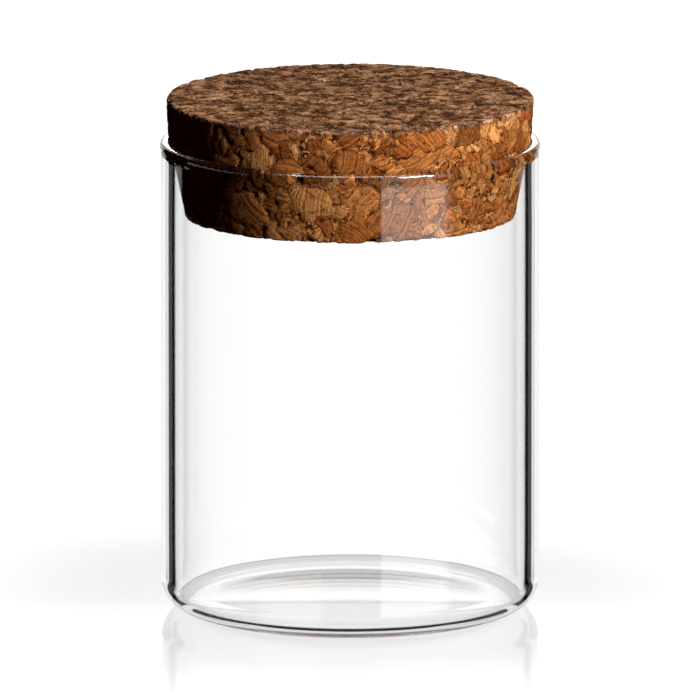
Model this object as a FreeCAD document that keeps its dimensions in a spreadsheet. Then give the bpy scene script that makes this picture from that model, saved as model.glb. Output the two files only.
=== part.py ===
import FreeCAD, Part
import Sketcher

import enum
import math
import os

# Straight-sided glass jar with a tapered cork stopper in its mouth.
# Both pieces are turned forms about +Z. The origin is on the surface that the jar stands on.

# Driving sizes, in millimetres and degrees
SIZES = {
    "jar_diameter": 65.0,          # outside of the straight wall
    "jar_height": 81.6,            # foot to top of the lip
    "wall_thickness": 2.3,
    "base_thickness": 1.8,         # foot plane to the floor inside
    "heel_radius": 5.3,            # rounded outer corner at the bottom
    "floor_corner_radius": 2.8,    # rounded inner corner at the floor
    "foot_width": 2.0,             # flat ring that the jar stands on
    "base_push_up": 0.4,           # rise of the hollow underside at the centre
    "lip_rise": 2.6,               # height over which the mouth spreads
    "lip_radius": 1.0,             # fire-polished round of the lip
    "lip_spread": 0.15,            # how far the lip stands out past the wall
    "cork_height": 20.0,
    "cork_stand": 7.4,             # how much of the cork stands above the lip
    "cork_taper": 9.5,             # slope of the cork's side from the vertical
    "cork_edge_radius": 0.5,       # worn round of both cork edges
    "seat_clearance": 0.2,         # cork to bore where the mouth starts to flare
}

JAR_LABEL = "glass_jar"
CORK_LABEL = "cork_stopper"
CUBIC_MM_PER_CM = 1000

doc = FreeCAD.newDocument("CorkJar")


def make_sheet():
    """Put each driving size in its own named cell."""
    sheet = doc.addObject("Spreadsheet::Sheet", "Sizes")
    for row, (name, value) in enumerate(SIZES.items(), start=1):
        sheet.set(f"A{row}", name)
        sheet.set(f"B{row}", str(value))
        sheet.setAlias(f"B{row}", name)
    doc.recompute()
    return sheet


def new_body(label):
    """Start a named body."""
    body = doc.addObject("PartDesign::Body", label)
    body.Label = label
    return body


def new_profile(body, name):
    """Start a half-section sketch on the body's own XZ plane: x is the radius, y the height."""
    planes = {feature.Role: feature for feature in body.Origin.OriginFeatures}
    sketch = body.newObject("Sketcher::SketchObject", name)
    sketch.AttachmentSupport = [(planes["XZ_Plane"], "")]
    sketch.MapMode = "FlatFace"
    return sketch


def point(x, y):
    return FreeCAD.Vector(x, y, 0)


def line(start, end):
    return Part.LineSegment(start, end)


def arc(centre, radius, start_degrees, end_degrees):
    """Counter-clockwise arc between two directions from its centre."""
    circle = Part.Circle(centre, FreeCAD.Vector(0, 0, 1), radius)
    return Part.ArcOfCircle(circle, math.radians(start_degrees), math.radians(end_degrees))


class Place(enum.IntEnum):
    """The places on a curve, with the codes that Sketcher counts up for them."""
    START = enum.auto()
    END = enum.auto()
    CENTRE = enum.auto()


START, END, CENTRE = Place

# Sketcher's codes for the sketch's own origin and axes
ORIGIN = (-1, 1)
HORIZONTAL_AXIS, VERTICAL_AXIS = -1, -2


def bind(sketch, name, kind, where, expression):
    """Add a named dimension, set now to the size that its expression gives and bound to it."""
    value = float(sketch.evalExpression(expression))
    index = sketch.addConstraint(Sketcher.Constraint(kind, *where, value))
    sketch.renameConstraint(index, name)
    sketch.setExpression(f"Constraints.{name}", expression)


def revolve(body, sketch, name):
    """Turn a half section about the height axis, through the full circle that is the default."""
    turned = body.newObject("PartDesign::Revolution", name)
    turned.Profile = sketch
    turned.ReferenceAxis = (sketch, ["V_Axis"])
    doc.recompute()
    return turned


def make_jar():
    """Blown jar: hollow underside, foot ring, round heel, straight wall, flared round lip."""
    body = new_body(JAR_LABEL)
    sketch = new_profile(body, "JarSection")

    outside = SIZES["jar_diameter"] / 2
    bore = outside - SIZES["wall_thickness"]
    floor = SIZES["base_thickness"]
    corner = SIZES["floor_corner_radius"]
    heel = SIZES["heel_radius"]
    foot_outer = outside - heel
    foot_inner = foot_outer - SIZES["foot_width"]
    push_up = SIZES["base_push_up"]
    lip = SIZES["lip_radius"]
    flare_start = SIZES["jar_height"] - SIZES["lip_rise"]
    lip_centre = point(outside + SIZES["lip_spread"] - lip, SIZES["jar_height"] - lip)

    # The lip's round touches one arc that leaves the bore and one that leaves the outer wall.
    # Both of those arcs are centred level with the start of the flare.
    up = lip_centre.y - flare_start
    from_bore = lip_centre.x - bore
    from_wall = outside - lip_centre.x
    bore_flare = (from_bore ** 2 + up ** 2 - lip ** 2) / (2 * (from_bore - lip))
    wall_flare = (from_wall ** 2 + up ** 2 - lip ** 2) / (2 * (lip - from_wall))
    bore_flare_centre = point(bore + bore_flare, flare_start)
    wall_flare_centre = point(outside + wall_flare, flare_start)
    bore_touch = math.degrees(math.atan2(up, lip_centre.x - bore_flare_centre.x))
    wall_touch = math.degrees(math.atan2(up, lip_centre.x - wall_flare_centre.x))

    # The underside is a shallow dome centred on the height axis
    dome = (foot_inner ** 2 + push_up ** 2) / (2 * push_up)
    dome_edge = math.degrees(math.acos(foot_inner / dome))

    section = [
        line(point(0, push_up), point(0, floor)),
        line(point(0, floor), point(bore - corner, floor)),
        arc(point(bore - corner, floor + corner), corner, 270, 360),
        line(point(bore, floor + corner), point(bore, flare_start)),
        arc(bore_flare_centre, bore_flare, bore_touch, 180),
        arc(lip_centre, lip, wall_touch - 180, bore_touch),
        arc(wall_flare_centre, wall_flare, wall_touch, 180),
        line(point(outside, flare_start), point(outside, heel)),
        arc(point(foot_outer, heel), heel, 270, 360),
        line(point(foot_outer, 0), point(foot_inner, 0)),
        arc(point(0, push_up - dome), dome, dome_edge, 90),
    ]
    (axis_line, floor_line, floor_arc, bore_line, bore_flare_arc, lip_arc,
     wall_flare_arc, wall_line, heel_arc, foot_line, dome_arc) = sketch.addGeometry(section, False)

    joined = [
        ("Coincident", axis_line, END, floor_line, START),
        ("Tangent", floor_line, END, floor_arc, START),
        ("Tangent", floor_arc, END, bore_line, START),
        ("Tangent", bore_line, END, bore_flare_arc, END),
        ("Tangent", bore_flare_arc, START, lip_arc, END),
        ("Tangent", lip_arc, START, wall_flare_arc, START),
        ("Tangent", wall_flare_arc, END, wall_line, START),
        ("Tangent", wall_line, END, heel_arc, END),
        ("Tangent", heel_arc, START, foot_line, START),
        ("Coincident", foot_line, END, dome_arc, START),
        ("Coincident", dome_arc, END, axis_line, START),
        ("PointOnObject", axis_line, START, VERTICAL_AXIS),
        ("PointOnObject", dome_arc, CENTRE, VERTICAL_AXIS),
        ("PointOnObject", foot_line, START, HORIZONTAL_AXIS),
        ("Vertical", axis_line),
        ("Vertical", bore_line),
        ("Vertical", wall_line),
        ("Horizontal", floor_line),
        ("Horizontal", foot_line),
    ]
    for rule in joined:
        sketch.addConstraint(Sketcher.Constraint(*rule))

    bind(sketch, "floor_height", "DistanceY", (*ORIGIN, axis_line, END), "Sizes.base_thickness")
    bind(sketch, "push_up", "DistanceY", (*ORIGIN, axis_line, START), "Sizes.base_push_up")
    bind(sketch, "bore_radius", "DistanceX", (*ORIGIN, bore_line, START),
         "Sizes.jar_diameter / 2 - Sizes.wall_thickness")
    bind(sketch, "outer_radius", "DistanceX", (*ORIGIN, wall_line, END), "Sizes.jar_diameter / 2")
    bind(sketch, "floor_corner", "Radius", (floor_arc,), "Sizes.floor_corner_radius")
    bind(sketch, "heel", "Radius", (heel_arc,), "Sizes.heel_radius")
    bind(sketch, "foot", "DistanceX", (foot_line, END, foot_line, START), "Sizes.foot_width")
    bind(sketch, "lip_round", "Radius", (lip_arc,), "Sizes.lip_radius")
    bind(sketch, "lip_reach", "DistanceX", (*ORIGIN, lip_arc, CENTRE),
         "Sizes.jar_diameter / 2 + Sizes.lip_spread - Sizes.lip_radius")
    bind(sketch, "lip_height", "DistanceY", (*ORIGIN, lip_arc, CENTRE),
         "Sizes.jar_height - Sizes.lip_radius")
    bind(sketch, "bore_top", "DistanceY", (*ORIGIN, bore_line, END),
         "Sizes.jar_height - Sizes.lip_rise")
    bind(sketch, "wall_top", "DistanceY", (*ORIGIN, wall_line, START),
         "Sizes.jar_height - Sizes.lip_rise")
    doc.recompute()
    revolve(body, sketch, "JarTurned")
    return body


def make_cork():
    """Tapered stopper whose side meets the bore where the mouth starts to flare."""
    body = new_body(CORK_LABEL)
    sketch = new_profile(body, "CorkSection")

    slope = math.tan(math.radians(SIZES["cork_taper"]))
    seat_radius = SIZES["jar_diameter"] / 2 - SIZES["wall_thickness"] - SIZES["seat_clearance"]
    above_seat = SIZES["cork_stand"] + SIZES["lip_rise"]
    top = SIZES["jar_height"] + SIZES["cork_stand"]
    bottom = top - SIZES["cork_height"]
    top_radius = seat_radius + slope * above_seat
    bottom_radius = top_radius - slope * SIZES["cork_height"]

    corners = [point(0, bottom), point(bottom_radius, bottom), point(top_radius, top), point(0, top)]
    sides = [line(start, end) for start, end in zip(corners, corners[1:] + corners[:1])]
    bottom_line, side_line, top_line, axis_line = sketch.addGeometry(sides, False)

    joined = [
        ("Coincident", bottom_line, END, side_line, START),
        ("Coincident", side_line, END, top_line, START),
        ("Coincident", top_line, END, axis_line, START),
        ("Coincident", axis_line, END, bottom_line, START),
        ("PointOnObject", axis_line, START, VERTICAL_AXIS),
        ("Vertical", axis_line),
        ("Horizontal", bottom_line),
        ("Horizontal", top_line),
    ]
    for rule in joined:
        sketch.addConstraint(Sketcher.Constraint(*rule))

    seat = "Sizes.jar_diameter / 2 - Sizes.wall_thickness - Sizes.seat_clearance"
    reach = "tan(Sizes.cork_taper * 1 deg)"
    bind(sketch, "cork_top", "DistanceY", (*ORIGIN, top_line, END),
         "Sizes.jar_height + Sizes.cork_stand")
    bind(sketch, "cork_bottom", "DistanceY", (*ORIGIN, bottom_line, START),
         "Sizes.jar_height + Sizes.cork_stand - Sizes.cork_height")
    bind(sketch, "top_radius", "DistanceX", (*ORIGIN, side_line, END),
         f"{seat} + {reach} * (Sizes.cork_stand + Sizes.lip_rise)")
    bind(sketch, "bottom_radius", "DistanceX", (*ORIGIN, side_line, START),
         f"{seat} + {reach} * (Sizes.cork_stand + Sizes.lip_rise - Sizes.cork_height)")
    doc.recompute()

    turned = revolve(body, sketch, "CorkTurned")
    rims = [
        f"Edge{number}"
        for number, edge in enumerate(turned.Shape.Edges, start=1)
        if isinstance(edge.Curve, Part.Circle)
    ]
    worn = body.newObject("PartDesign::Fillet", "CorkWornEdges")
    worn.Base = (turned, rims)
    worn.setExpression("Radius", "Sizes.cork_edge_radius")
    doc.recompute()
    return body


def check_document():
    """Stop if any object of the document failed to compute."""
    for item in doc.Objects:
        if "Invalid" in item.State or "Error" in item.State:
            raise RuntimeError(f"{item.Name} failed: {item.State}")
    for sketch in doc.findObjects("Sketcher::SketchObject"):
        if not sketch.FullyConstrained:
            raise RuntimeError(f"{sketch.Name} isn't fully constrained")


def write_parts(bodies):
    """Check each finished solid and write it under its label."""
    for body in bodies:
        shape = body.Shape
        if shape.isNull() or not shape.isValid() or len(shape.Solids) != 1:
            raise RuntimeError(f"{body.Label} isn't one valid solid")
    os.makedirs("parts", exist_ok=True)
    for body in bodies:
        body.Shape.exportStep(f"parts/{body.Label}.step")
        box = body.Shape.optimalBoundingBox()
        print(f"{body.Label}: {body.Shape.Volume / CUBIC_MM_PER_CM:.2f} cm3, "
              f"{box.XLength:.2f} mm across, {box.ZMin:.2f} to {box.ZMax:.2f} mm high")


make_sheet()
pieces = [make_jar(), make_cork()]
doc.recompute()
check_document()
write_parts(pieces)
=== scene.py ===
"""Looks of a straight-sided glass jar with a tapered stopper of pressed cork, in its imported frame."""

import math

import bmesh
import bpy
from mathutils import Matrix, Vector


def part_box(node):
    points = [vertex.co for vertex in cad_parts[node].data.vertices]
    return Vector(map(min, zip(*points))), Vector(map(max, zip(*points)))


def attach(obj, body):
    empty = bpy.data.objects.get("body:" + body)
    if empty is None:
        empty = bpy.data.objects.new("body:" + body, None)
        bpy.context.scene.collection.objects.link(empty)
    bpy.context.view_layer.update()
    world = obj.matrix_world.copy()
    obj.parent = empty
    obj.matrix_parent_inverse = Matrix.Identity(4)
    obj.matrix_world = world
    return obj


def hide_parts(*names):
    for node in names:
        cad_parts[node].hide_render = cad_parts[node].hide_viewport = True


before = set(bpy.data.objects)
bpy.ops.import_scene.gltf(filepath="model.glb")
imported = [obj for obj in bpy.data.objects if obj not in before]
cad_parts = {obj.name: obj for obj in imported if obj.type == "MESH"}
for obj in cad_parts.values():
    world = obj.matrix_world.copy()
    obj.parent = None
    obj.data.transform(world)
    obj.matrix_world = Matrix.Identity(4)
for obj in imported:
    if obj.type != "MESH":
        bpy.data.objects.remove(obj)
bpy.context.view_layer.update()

MM = 0.001

# Jar section, as the solid has it
WALL = 2.3 * MM
FLOOR_HEIGHT = 1.8 * MM
FLOOR_CORNER = 2.8 * MM
HEEL = 5.3 * MM
FOOT_WIDTH = 2.0 * MM
PUSH_UP = 0.4 * MM
LIP_RISE = 2.6 * MM
LIP_ROUND = 1.0 * MM
LIP_SPREAD = 0.15 * MM

# Rows of faces along the jar's section, and steps round it
FLOOR_ROWS = 12
FLOOR_CORNER_ROWS = 14
WALL_ROWS = 8
BORE_FLARE_ROWS = 10
LIP_ROWS = 16
WALL_FLARE_ROWS = 6
HEEL_ROWS = 18
FOOT_ROWS = 3
PUSH_UP_ROWS = 12
JAR_TURN_STEPS = 720

# Cork section, as the solid has it
CORK_TAPER = 9.5
CORK_EDGE = 0.5 * MM

# The mouth squeezes the cork, so its side swells over the lip: radius, height and rows up to there
CORK_SWELL = (
    (30.12 * MM, 78.6 * MM, 24),
    (30.36 * MM, 79.4 * MM, 4),
    (30.85 * MM, 80.6 * MM, 5),
    (31.20 * MM, 81.7 * MM, 5),
    (31.36 * MM, 84.5 * MM, 8),
)

# Rows of faces along the rest of the cork's section, and steps round it
CORK_UNDER_ROWS = 30
CORK_UNDER_EDGE_ROWS = 4
CORK_SIDE_ROWS = 11
CORK_TOP_EDGE_ROWS = 5
CORK_TOP_ROWS = 64
CORK_TURN_STEPS = 540

# Sectors that a turned piece is repeated in, and how near its seams have to meet
TURN_SECTORS = 12
SEAM_GAP = 0.0001 * MM

# Camera: the frame is a square this wide at the jar's axis
CAMERA_DISTANCE = 5.0
CAMERA_ELEVATION = 11.3
CAMERA_AIM_HEIGHT = 44.75 * MM
FRAME_WIDTH = 120.3 * MM

scene = bpy.context.scene
scene.view_settings.view_transform = "Standard"

# Light runs a long way round inside the lip and the base before it comes out
GLASS_BOUNCES = 96
scene.cycles.max_bounces = GLASS_BOUNCES
scene.cycles.glossy_bounces = GLASS_BOUNCES
scene.cycles.transmission_bounces = GLASS_BOUNCES


class Outline:
    """A half section drawn in the XZ plane, radius and height, then turned about Z."""

    def __init__(self, radius, height):
        self.mesh = bmesh.new()
        self.tip = self.mesh.verts.new((radius, 0, height))

    def line(self, radius, height, rows):
        """Straight run to a point, in equal rows."""
        step = (Vector((radius, 0, height)) - self.tip.co) / rows
        for _ in range(rows):
            self.tip = bmesh.ops.extrude_vert_indiv(self.mesh, verts=[self.tip])["verts"][0]
            self.tip.co += step

    def arc(self, radius, height, degrees, rows):
        """Arc about a centre, counter-clockwise where degrees is positive."""
        grown = bmesh.ops.spin(
            self.mesh, geom=[self.tip], cent=(radius, 0, height), axis=(0, -1, 0),
            angle=math.radians(degrees), steps=rows)
        self.tip = next(item for item in grown["geom_last"] if isinstance(item, bmesh.types.BMVert))

    def turned(self, name, steps):
        """Smooth closed piece, turned through one sector that is then repeated round the circle."""
        sector = math.tau / TURN_SECTORS
        bmesh.ops.spin(
            self.mesh, geom=self.mesh.verts[:] + self.mesh.edges[:], cent=(0, 0, 0), axis=(0, 0, 1),
            angle=sector, steps=steps // TURN_SECTORS)
        bmesh.ops.spin(
            self.mesh, geom=self.mesh.verts[:] + self.mesh.edges[:] + self.mesh.faces[:], cent=(0, 0, 0),
            axis=(0, 0, 1), angle=math.tau - sector, steps=TURN_SECTORS - 1, use_duplicate=True)
        bmesh.ops.remove_doubles(self.mesh, verts=self.mesh.verts[:], dist=SEAM_GAP)
        bmesh.ops.recalc_face_normals(self.mesh, faces=self.mesh.faces[:])
        for face in self.mesh.faces:
            face.smooth = True
        return placed(self.mesh, name)


def placed(mesh, name):
    """Object in the scene that takes over a bmesh."""
    data = bpy.data.meshes.new(name)
    mesh.to_mesh(data)
    mesh.free()
    piece = bpy.data.objects.new(name, data)
    scene.collection.objects.link(piece)
    return piece


class Wire:
    """An output socket that takes part in sums, each of which adds a Math node."""

    def __init__(self, nodes, socket):
        self.nodes = nodes
        self.socket = socket

    def _sum(self, operation, first, second):
        return self.nodes.node("ShaderNodeMath", {"operation": operation}, {0: first, 1: second})

    def __add__(self, other):
        return self._sum("ADD", self, other)

    def __radd__(self, other):
        return self._sum("ADD", other, self)

    def __sub__(self, other):
        return self._sum("SUBTRACT", self, other)

    def __rsub__(self, other):
        return self._sum("SUBTRACT", other, self)

    def __mul__(self, other):
        return self._sum("MULTIPLY", self, other)

    def __rmul__(self, other):
        return self._sum("MULTIPLY", other, self)

    def __abs__(self):
        return self.nodes.node("ShaderNodeMath", {"operation": "ABSOLUTE"}, {0: self})

    def __lt__(self, other):
        return self._sum("LESS_THAN", self, other)

    def __gt__(self, other):
        return self._sum("GREATER_THAN", self, other)

    def beside(self, name):
        """Another output of the same node."""
        return Wire(self.nodes, self.socket.node.outputs[name])

    def smaller(self, other):
        return self._sum("MINIMUM", self, other)

    def larger(self, other):
        return self._sum("MAXIMUM", self, other)

    def rise(self, low, high):
        """0 below low, 1 above high, smooth between."""
        return self.nodes.node(
            "ShaderNodeMapRange", {"interpolation_type": "SMOOTHSTEP"},
            {"Value": self, "From Min": low, "From Max": high})


class Nodes:
    """A node tree that is written as expressions."""

    def __init__(self, tree):
        self.tree = tree

    def node(self, kind, settings=None, sockets=None, output=0):
        """Add a node: its settings first, then the values or links of its sockets."""
        made = self.tree.nodes.new(kind)
        for name, value in (settings or {}).items():
            if name == "stops":
                self._set_stops(made.color_ramp, value)
            else:
                setattr(made, name, value)
        for name, value in (sockets or {}).items():
            if isinstance(value, Wire):
                self.tree.links.new(value.socket, made.inputs[name])
            else:
                made.inputs[name].default_value = value
        return Wire(self, made.outputs[output])

    @staticmethod
    def _set_stops(ramp, stops):
        while len(ramp.elements) < len(stops):
            ramp.elements.new(1.0)
        for element, (place, colour) in zip(ramp.elements, stops):
            element.position = place
            element.color = (*colour, 1)

    def end(self, kind, name, last):
        """Add the tree's output node and link the last node to it."""
        made = self.tree.nodes.new(kind)
        self.tree.links.new(last.socket, made.inputs[name])

    def vector(self, operation, first, second):
        return self.node("ShaderNodeVectorMath", {"operation": operation}, {0: first, 1: second})

    def scaled(self, vector, factor):
        return self.node("ShaderNodeVectorMath", {"operation": "SCALE"}, {0: vector, "Scale": factor})

    def length(self, vector):
        return self.node("ShaderNodeVectorMath", {"operation": "LENGTH"}, {0: vector}, "Value")

    def axis(self, vector, letter):
        return self.node("ShaderNodeSeparateXYZ", {}, {0: vector}, letter)

    def mix_colour(self, share, first, second, blend="MIX"):
        return self.node(
            "ShaderNodeMix", {"data_type": "RGBA", "blend_type": blend},
            {0: share, 6: first, 7: second}, 2)

    def mix_vector(self, share, first, second):
        return self.node("ShaderNodeMix", {"data_type": "VECTOR"}, {0: share, 4: first, 5: second}, 1)

    def noise(self, place, size, detail=2.0, roughness=0.5, output="Fac"):
        """Cloudy noise whose blobs are about size across."""
        return self.node(
            "ShaderNodeTexNoise", {},
            {"Vector": place, "Scale": 1 / size, "Detail": detail, "Roughness": roughness}, output)

    def layers(self, along, spacing, detail=2.0):
        """Noise that changes only along one value."""
        return self.node(
            "ShaderNodeTexNoise", {"noise_dimensions": "1D"},
            {"W": along, "Scale": 1 / spacing, "Detail": detail, "Roughness": 0.6})

    def cells(self, place, size, feature="F1", output="Color"):
        return self.node(
            "ShaderNodeTexVoronoi", {"feature": feature}, {"Vector": place, "Scale": 1 / size}, output)


def new_material(name):
    """A material with an empty tree, and its tree as Nodes."""
    material = bpy.data.materials.new(name)
    material.use_nodes = True
    material.node_tree.nodes.clear()
    return material, Nodes(material.node_tree)


# Pressed cork: the same granules shape the relief and the colour
COARSE_GRANULE = 5.0 * MM
FINE_GRANULE = 2.3 * MM
COARSE_LEFT_WHOLE = 0.5
BROAD_WARP = 5.0 * MM
BROAD_WARP_SIZE = 5.0 * MM
NARROW_WARP = 1.5 * MM
NARROW_WARP_SIZE = 1.3 * MM
RING_CENTRE_REACH = 36.0 * MM
RAGGED_SIZE = 1.6 * MM
VOID_REACH = (0.1 * MM, 0.55 * MM)
VOID_SHARE = (0.57, 0.66)
HALF = (0.5, 0.5, 0.5)


class Granules:
    """Cork granules at a place: distance to the nearest joint, own numbers, ring distance, voids."""

    def __init__(self, nodes, place):
        bent = place
        for size, detail, warp in (BROAD_WARP_SIZE, 1, BROAD_WARP), (NARROW_WARP_SIZE, 2, NARROW_WARP):
            push = nodes.noise(place, size, detail=detail, output="Color")
            bent = nodes.vector("ADD", bent, nodes.scaled(nodes.vector("SUBTRACT", push, HALF), warp))
        coarse = nodes.cells(bent, COARSE_GRANULE)
        fine = nodes.cells(bent, FINE_GRANULE)
        whole = nodes.axis(coarse, "Y") < COARSE_LEFT_WHOLE
        coarse_joint = nodes.cells(bent, COARSE_GRANULE, "DISTANCE_TO_EDGE", "Distance") * COARSE_GRANULE
        fine_joint = nodes.cells(bent, FINE_GRANULE, "DISTANCE_TO_EDGE", "Distance") * FINE_GRANULE
        self.joint = coarse_joint.smaller(fine_joint + whole * COARSE_GRANULE)
        self.numbers = nodes.mix_vector(whole, fine, coarse)
        middle = nodes.mix_vector(whole, fine.beside("Position"), coarse.beside("Position"))
        aside = nodes.scaled(nodes.vector("SUBTRACT", self.numbers, HALF), RING_CENTRE_REACH)
        ring_centre = nodes.vector("ADD", middle, aside)
        self.ring = nodes.length(nodes.vector("SUBTRACT", place, ring_centre))
        self.bent = bent
        self.ragged = nodes.noise(place, RAGGED_SIZE, detail=3, roughness=0.6)
        near_joint = 1 - self.joint.rise(*VOID_REACH)
        self.void = near_joint * self.ragged.rise(*VOID_SHARE)


# Relief of the cork
GROOVE_REACH = (0.05 * MM, 0.45 * MM)
GROOVE_DEPTH = 0.12 * MM
VOID_DEPTH = 0.45 * MM
CHIP_SIZE = 3.0 * MM
CHIP_REACH = (0.1 * MM, 1.2 * MM)
CHIP_SHARE = (0.5, 0.7)
CHIP_DEPTH = 0.7 * MM
UNEVEN_SIZE = 7.0 * MM
UNEVEN_DEPTH = 0.2 * MM


def cork_relief():
    """Node group that sinks the joints and voids of the cork and chips its two edges."""
    low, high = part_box("cork_stopper")
    group = bpy.data.node_groups.new("cork_relief", "GeometryNodeTree")
    group.interface.new_socket("Geometry", in_out="INPUT", socket_type="NodeSocketGeometry")
    group.interface.new_socket("Geometry", in_out="OUTPUT", socket_type="NodeSocketGeometry")
    nodes = Nodes(group)
    place = nodes.node("GeometryNodeInputPosition")
    granules = Granules(nodes, place)

    radius = nodes.length(nodes.vector("MULTIPLY", place, (1, 1, 0)))
    height = nodes.axis(place, "Z")
    slope = math.tan(math.radians(CORK_TAPER))
    from_side = high.x + (height - high.z) * slope - radius
    from_end = (high.z - height).smaller(height - low.z)
    from_edge = from_side.larger(from_end)
    crumbled = nodes.noise(place, CHIP_SIZE, detail=4, roughness=0.65)
    chips = (1 - from_edge.rise(*CHIP_REACH)) * crumbled.rise(*CHIP_SHARE)

    groove = 1 - granules.joint.rise(*GROOVE_REACH)
    uneven = nodes.noise(place, UNEVEN_SIZE, detail=1) - 0.5
    depth = groove * GROOVE_DEPTH + granules.void * VOID_DEPTH + chips * CHIP_DEPTH + uneven * UNEVEN_DEPTH
    depth = depth.larger(0.0)
    normal = nodes.node("GeometryNodeInputNormal")
    sunk = nodes.scaled(normal, 0 - depth)
    start = nodes.node("NodeGroupInput")
    moved = nodes.node("GeometryNodeSetPosition", {}, {"Geometry": start, "Offset": sunk})
    nodes.end("NodeGroupOutput", 0, moved)
    return group


# Colours of the cork, from the darkest granules to the palest
AMBER = (
    (0.0, (0.20, 0.047, 0.009)),
    (0.3, (0.41, 0.116, 0.025)),
    (0.65, (0.60, 0.206, 0.053)),
    (1.0, (0.78, 0.335, 0.108)),
)
STRAW = (
    (0.0, (0.23, 0.070, 0.018)),
    (0.3, (0.41, 0.140, 0.037)),
    (0.65, (0.58, 0.235, 0.071)),
    (1.0, (0.78, 0.390, 0.142)),
)
STRAW_SHARE = (0.0, 0.65)
SHADE_PATCH_SIZE = 9.0 * MM
JOINT_BROWN = (0.026, 0.009, 0.004, 1)

# Layered grain of a granule
RING_WOBBLE = 0.9 * MM
RING_WOBBLE_SIZE = 3.0 * MM
RING_SPACING = 0.42 * MM
THREAD_SPACING = 0.13 * MM
MOTTLE_SIZE = 0.6 * MM
GRAIN_RANGE = (0.36, 0.62)
GRAIN_DARK = (0.36, 0.26, 0.18, 1)
GRAIN_PALE = (1.30, 1.30, 1.28, 1)

# Ground top, greyer partly from grinding and partly from a painted sheen, which starts this far under the
# cork's upper face
TOP_FROM = 0.9 * MM
TOP_FULL = 0.4 * MM
TOP_GREY_WITH_PAINTED_SHEEN = (0.37, 0.235, 0.150, 1)
TOP_GREY_WITH_PAINTED_SHEEN_SHARE = 0.55
STREAK_SIZE = 2.6 * MM
STREAK_RANGE = (0.4, 0.6)
STREAK_DARK = (0.38, 0.33, 0.28, 1)
STREAK_PALE = (1.54, 1.54, 1.52, 1)

# Dark joints, curled lines and flecks
JOINT_THIN = 0.04 * MM
JOINT_SPREAD = 0.2 * MM
JOINT_PATCH_SIZE = 1.8 * MM
CURL_SIZE = 2.2 * MM
CURL_PATCH_SIZE = 2.5 * MM
FLECK_SIZE = 0.8 * MM

# Fine surface
CRUMB_SIZE = 0.35 * MM
BUMP_DEPTH = 0.2 * MM
BUMP_STRENGTH = 0.7
CORK_ROUGHNESS = 0.8


def cork_material():
    """Amber granules with layered grain, dark joints and voids; the top is greyer, partly from grinding
    and partly from a painted sheen.
    """
    material, nodes = new_material("granulated_cork")
    _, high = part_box("cork_stopper")
    place = nodes.node("ShaderNodeTexCoord", output="Object")
    granules = Granules(nodes, place)
    number = nodes.axis(granules.numbers, "X")
    tawny = nodes.axis(granules.numbers, "Z")
    top = nodes.axis(place, "Z").rise(high.z - TOP_FROM, high.z - TOP_FULL)

    shade = number * 0.8 + nodes.noise(place, SHADE_PATCH_SIZE, detail=2) * 0.5 - 0.15
    amber = nodes.node("ShaderNodeValToRGB", {"stops": AMBER}, {0: shade})
    straw = nodes.node("ShaderNodeValToRGB", {"stops": STRAW}, {0: shade})
    colour = nodes.mix_colour(tawny.rise(*STRAW_SHARE), amber, straw)

    ring = granules.ring + nodes.noise(place, RING_WOBBLE_SIZE, detail=2) * RING_WOBBLE
    rings = nodes.layers(ring, RING_SPACING)
    threads = nodes.layers(ring, THREAD_SPACING, detail=1)
    mottled = nodes.noise(granules.bent, MOTTLE_SIZE, detail=4, roughness=0.7)
    grain = rings * 0.36 + threads * 0.22 + mottled * 0.42
    grain = grain.rise(*GRAIN_RANGE)
    grain_tint = nodes.mix_colour(grain, GRAIN_DARK, GRAIN_PALE)
    colour = nodes.mix_colour(1.0, colour, grain_tint, "MULTIPLY")

    streaks = nodes.noise(place, STREAK_SIZE, detail=5, roughness=0.7).rise(*STREAK_RANGE)
    streak_tint = nodes.mix_colour(streaks, STREAK_DARK, STREAK_PALE)
    # The top's grey is partly its ground finish and partly a painted sheen of light grazing it from behind
    ground_with_painted_sheen = nodes.mix_colour(TOP_GREY_WITH_PAINTED_SHEEN_SHARE, colour, TOP_GREY_WITH_PAINTED_SHEEN)
    ground_with_painted_sheen = nodes.mix_colour(1.0, ground_with_painted_sheen, streak_tint, "MULTIPLY")
    colour = nodes.mix_colour(top, colour, ground_with_painted_sheen)

    joint_width = granules.ragged.rise(0.35, 0.7) * JOINT_SPREAD + JOINT_THIN
    drawn = nodes.noise(place, JOINT_PATCH_SIZE, detail=1).rise(0.36, 0.56) * 0.55 + 0.45
    dark_joint = (1 - granules.joint.rise(0.02 * MM, joint_width)) * drawn
    curl = abs(nodes.noise(granules.bent, CURL_SIZE, detail=3, roughness=0.6) - 0.5)
    curl_patch = nodes.noise(place, CURL_PATCH_SIZE).rise(0.4, 0.55)
    curls = (1 - curl.rise(0.005, 0.035 + top * 0.04)) * curl_patch
    flecks = nodes.noise(granules.bent, FLECK_SIZE, detail=2).rise(0.64 - top * 0.05, 0.72) * 0.75
    dark = dark_joint.larger(granules.void).larger(flecks)
    dark = dark.larger(curls * (0.5 + top * 0.4))
    colour = nodes.mix_colour(dark, colour, JOINT_BROWN)

    crumbs = nodes.noise(place, CRUMB_SIZE, detail=2)
    height = (number * 0.5 + grain * 0.4 - dark * 0.8 + crumbs * 0.3) * (1 + top * 1.5)
    bump = nodes.node(
        "ShaderNodeBump", {}, {"Height": height, "Strength": BUMP_STRENGTH, "Distance": BUMP_DEPTH})
    shader = nodes.node("ShaderNodeBsdfPrincipled", {}, {
        "Base Color": colour,
        "Roughness": CORK_ROUGHNESS,
        "Specular IOR Level": 0.0,
        "Normal": bump,
    })
    nodes.end("ShaderNodeOutputMaterial", "Surface", shader)
    return material


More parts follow.
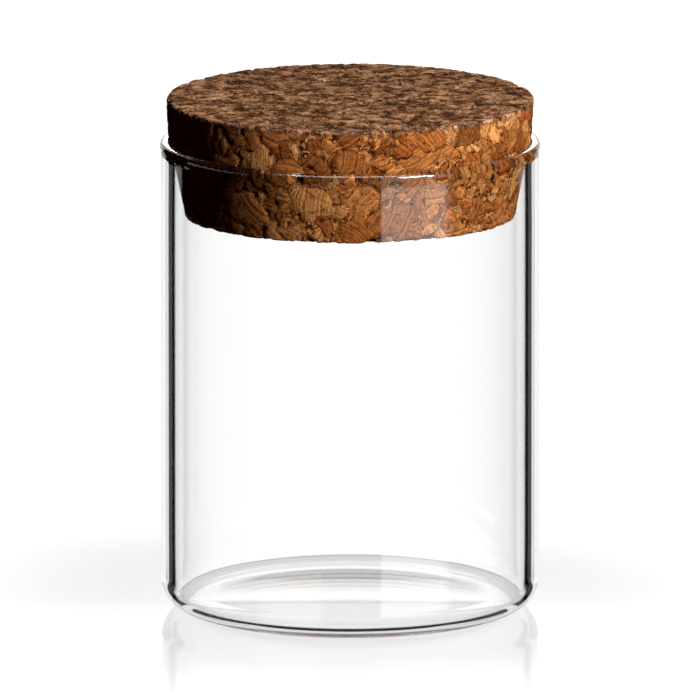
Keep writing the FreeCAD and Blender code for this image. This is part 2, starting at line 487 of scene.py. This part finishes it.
def make_cork():
    """Tapered stopper with worn edges, joints between granules, voids and chips."""
    low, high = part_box("cork_stopper")
    lean = math.radians(CORK_TAPER)
    corner_top = CORK_EDGE * (math.tan(lean) + 1 / math.cos(lean))
    corner_under = CORK_EDGE * (math.tan(lean) - 1 / math.cos(lean))
    top_radius = high.x + corner_top - CORK_EDGE
    under_radius = top_radius - math.tan(lean) * (high.z - low.z)
    top_centre = top_radius - corner_top
    under_centre = under_radius + corner_under

    section = Outline(0, low.z)
    section.line(under_centre, low.z, CORK_UNDER_ROWS)
    section.arc(under_centre, low.z + CORK_EDGE, 90 - CORK_TAPER, CORK_UNDER_EDGE_ROWS)
    for radius, height, rows in CORK_SWELL:
        section.line(radius, height, rows)
    side_end = top_centre + CORK_EDGE * math.cos(lean)
    section.line(side_end, high.z - CORK_EDGE * (1 + math.sin(lean)), CORK_SIDE_ROWS)
    section.arc(top_centre, high.z - CORK_EDGE, 90 + CORK_TAPER, CORK_TOP_EDGE_ROWS)
    section.line(0, high.z, CORK_TOP_ROWS)
    cork = section.turned("stopper_cork", CORK_TURN_STEPS)

    carve = cork.modifiers.new("relief", "NODES")
    carve.node_group = cork_relief()
    carved = bpy.data.meshes.new_from_object(cork.evaluated_get(bpy.context.evaluated_depsgraph_get()))
    cork.modifiers.clear()
    cork.data = carved
    cork.data.materials.clear()
    cork.data.materials.append(cork_material())
    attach(cork, "stopper")
    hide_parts("cork_stopper")


GLASS_IOR = 1.47


def glass_material():
    """Plain clear glass."""
    material, nodes = new_material("clear_glass")
    shader = nodes.node("ShaderNodeBsdfPrincipled", {}, {
        "Base Color": (1, 1, 1, 1),
        "Roughness": 0.0,
        "IOR": GLASS_IOR,
        "Transmission Weight": 1.0,
    })
    nodes.end("ShaderNodeOutputMaterial", "Surface", shader)
    return material


def make_jar():
    """Glass jar: floor, bore, flared lip, wall, heel, foot ring and hollow underside."""
    _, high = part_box("glass_jar")
    outside = high.x - LIP_SPREAD
    bore = outside - WALL
    foot_outer = outside - HEEL
    foot_inner = foot_outer - FOOT_WIDTH
    flare_start = high.z - LIP_RISE
    lip_x = high.x - LIP_ROUND
    lip_z = high.z - LIP_ROUND

    # One arc leaves the bore and one leaves the wall, and both touch the round of the lip
    up = lip_z - flare_start
    from_bore = lip_x - bore
    from_wall = outside - lip_x
    bore_flare = (from_bore ** 2 + up ** 2 - LIP_ROUND ** 2) / (2 * (from_bore - LIP_ROUND))
    wall_flare = (from_wall ** 2 + up ** 2 - LIP_ROUND ** 2) / (2 * (LIP_ROUND - from_wall))
    bore_turn = math.degrees(math.atan2(up, bore + bore_flare - lip_x))
    wall_turn = math.degrees(math.atan2(up, outside + wall_flare - lip_x))
    dome = (foot_inner ** 2 + PUSH_UP ** 2) / (2 * PUSH_UP)
    dome_turn = math.degrees(math.asin(foot_inner / dome))

    section = Outline(0, FLOOR_HEIGHT)
    section.line(bore - FLOOR_CORNER, FLOOR_HEIGHT, FLOOR_ROWS)
    section.arc(bore - FLOOR_CORNER, FLOOR_HEIGHT + FLOOR_CORNER, 90, FLOOR_CORNER_ROWS)
    section.line(bore, flare_start, WALL_ROWS)
    section.arc(bore + bore_flare, flare_start, -bore_turn, BORE_FLARE_ROWS)
    section.arc(lip_x, lip_z, bore_turn - wall_turn - 180, LIP_ROWS)
    section.arc(outside + wall_flare, flare_start, wall_turn, WALL_FLARE_ROWS)
    section.line(outside, HEEL, WALL_ROWS)
    section.arc(foot_outer, HEEL, -90, HEEL_ROWS)
    section.line(foot_inner, 0, FOOT_ROWS)
    section.arc(0, PUSH_UP - dome, dome_turn, PUSH_UP_ROWS)
    jar = section.turned("jar_glass", JAR_TURN_STEPS)
    jar.data.materials.append(glass_material())
    # Clear glass lets the lamps through to the cork, and that light counts once
    jar.visible_shadow = False
    jar.visible_diffuse = False
    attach(jar, "jar")
    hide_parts("glass_jar")


# Studio cards: compass from +X and elevation, from and to, brightness, softness of the upright edges
CARDS = {
    "backdrop": (65, 115.5, -13, 70, 1.0, (1, 1)),
    "table behind": (65, 115.5, -50, -13, 0.64, (1, 1)),
    "grey at left": (128.5, 138, -17, 12, 0.40, (2, 1)),
    "grey at right": (42, 51.5, -17, 12, 0.40, (1, 2)),
    "card at left": (154, 206, -7, 12, 1.0, (1, 1)),
    "softbox": (289.5, 334, -17, 60, 1.7, (0.6, 4)),
    "foot of softbox": (289.5, 326, -29, -17, 1.4, (0.6, 5)),
    "table at the back": (37, 143, -28.5, -22, 0.8, (3, 3)),
    "table in front": (165, 375, -31, -20, 0.8, (3, 3)),
    "ceiling": (-180, 180, 35, 91, 0.06, (0, 0)),
    "lamp above": (185, 355, 60, 86, 7.0, (5, 5)),
}
ONLY_THROUGH_GLASS = ("grey at left", "grey at right", "table at the back", "table in front")
LEVEL_EDGE = 1.0
SEEN_THROUGH_GLASS = 1.17
MANY_TURNS = 2.5
AFTER_MANY_TURNS = 0.4
AMBIENT = (0.010, 0.003, 0.002, 1)
WHITE = (1, 1, 1, 1)


def make_world():
    """White to the camera, dim to matt surfaces, and bright cards in the dark to glass and gloss."""
    world = bpy.data.worlds.new("studio")
    world.use_nodes = True
    world.node_tree.nodes.clear()
    nodes = Nodes(world.node_tree)
    scene.world = world
    look = nodes.node("ShaderNodeTexCoord", output="Generated")
    east, north, up = (nodes.axis(look, letter) for letter in "XYZ")
    compass = nodes.node("ShaderNodeMath", {"operation": "ARCTAN2"}, {0: north, 1: east}) * math.degrees(1)
    elevation = nodes.node("ShaderNodeMath", {"operation": "ARCSINE"}, {0: up}) * math.degrees(1)

    camera = nodes.node("ShaderNodeLightPath", output="Is Camera Ray")
    glossy = camera.beside("Is Glossy Ray")
    through = camera.beside("Is Transmission Ray")
    bounces = camera.beside("Diffuse Depth")
    turns = camera.beside("Glossy Depth")
    shown = None
    for name, (start, end, low, high, brightness, (first_edge, last_edge)) in CARDS.items():
        middle = (start + end) / 2
        half = (end - start) / 2
        off = nodes.node(
            "ShaderNodeMath", {"operation": "WRAP"}, {0: compass - middle, 1: 180.0, 2: -180.0})
        card = elevation.rise(low - LEVEL_EDGE, low + LEVEL_EDGE)
        card = card * (1 - elevation.rise(high - LEVEL_EDGE, high + LEVEL_EDGE))
        if half < 180:
            card = card * off.rise(-half - first_edge, first_edge - half)
            card = card * (1 - off.rise(half - last_edge, half + last_edge))
        card = card * brightness
        if name in ONLY_THROUGH_GLASS:
            card = card * through
        shown = card if shown is None else shown.larger(card)

    shown = shown * (1 + through * (SEEN_THROUGH_GLASS - 1))
    # Light that turns many times inside the glass comes out dimmer
    shown = shown * (1 - (turns > MANY_TURNS) * (1 - AFTER_MANY_TURNS))
    seen = glossy.larger(through) * (bounces < 0.5)
    level = nodes.mix_colour(seen, AMBIENT, shown)
    level = nodes.mix_colour(camera, level, WHITE)
    backdrop = nodes.node("ShaderNodeBackground", {}, {"Color": level, "Strength": 1.0})
    nodes.end("ShaderNodeOutputWorld", "Surface", backdrop)


# White table: its glow to the camera near the jar and where that turns white, its grey and its shine
TABLE_HALF = 6.0
TABLE_GLOW_NEAR = 0.60
TABLE_GLOW_RANGE = (40 * MM, 100 * MM)
TABLE_GREY = (0.3, 0.3, 0.3, 1)
TABLE_SHINE = 0.17
TABLE_SHINE_ROUGHNESS = 0.03


def make_floor():
    """White glossy table: it glows white to the camera, takes shadows and mirrors the jar faintly."""
    mesh = bmesh.new()
    bmesh.ops.create_grid(mesh, x_segments=1, y_segments=1, size=TABLE_HALF)
    floor = placed(mesh, "floor")
    material, nodes = new_material("white_table")
    place = nodes.node("ShaderNodeTexCoord", output="Object")
    glow = TABLE_GLOW_NEAR + nodes.length(place).rise(*TABLE_GLOW_RANGE) * (1 - TABLE_GLOW_NEAR)
    camera = nodes.node("ShaderNodeLightPath", output="Is Camera Ray")
    light = nodes.node("ShaderNodeEmission", {}, {"Color": glow * camera, "Strength": 1.0})
    matt = nodes.node("ShaderNodeBsdfDiffuse", {}, {"Color": TABLE_GREY})
    lit = nodes.node("ShaderNodeAddShader", {}, {0: light, 1: matt})
    mirror = nodes.node(
        "ShaderNodeBsdfGlossy", {}, {"Color": WHITE, "Roughness": TABLE_SHINE_ROUGHNESS})
    shiny = nodes.node("ShaderNodeMixShader", {}, {0: camera * TABLE_SHINE, 1: lit, 2: mirror})
    nodes.end("ShaderNodeOutputMaterial", "Surface", shiny)
    floor.data.materials.append(material)
    # Glass and gloss look past the table at the studio's cards
    floor.visible_glossy = False
    floor.visible_transmission = False
    # Only the lamps light the cork
    floor.visible_diffuse = False


# Lamps: compass and elevation in degrees, distance, width and height in metres, watts
LAMPS = {
    "key_softbox": (313, 30, 0.6, 0.2, 0.24, 5.3),
    "back_softbox": (90, 16, 1.2, 0.6, 0.3, 7.8),
}


def aim(thing, target, compass, elevation, distance):
    """Put a lamp or the camera into the scene at a distance from a target, pointing there."""
    turn = math.radians(compass)
    tilt = math.radians(elevation)
    offset = Vector((math.cos(turn) * math.cos(tilt), math.sin(turn) * math.cos(tilt), math.sin(tilt)))
    thing.location = target + offset * distance
    thing.rotation_euler = (-offset).to_track_quat("-Z", "Y").to_euler()
    scene.collection.objects.link(thing)


def add_lamp(name, compass, elevation, distance, width, height, watts):
    """Soft rectangular lamp aimed at the cork."""
    data = bpy.data.lights.new(name, "AREA")
    data.shape = "RECTANGLE"
    data.size = width
    data.size_y = height
    data.energy = watts
    lamp = bpy.data.objects.new(name, data)
    aim(lamp, Vector((0, 0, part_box("cork_stopper")[0].z)), compass, elevation, distance)
    # The cork already gets this light unbent, so none is added by way of the glass
    lamp.visible_transmission = False


def make_camera():
    """Long lens in front of the jar, a little above it."""
    data = bpy.data.cameras.new("camera")
    data.lens = data.sensor_width * CAMERA_DISTANCE / FRAME_WIDTH
    camera = bpy.data.objects.new("camera", data)
    aim(camera, Vector((0, 0, CAMERA_AIM_HEIGHT)), -90, CAMERA_ELEVATION, CAMERA_DISTANCE)
    scene.camera = camera


make_camera()
make_world()
make_floor()
for lamp_name, lamp_numbers in LAMPS.items():
    add_lamp(lamp_name, *lamp_numbers)
make_jar()
make_cork()
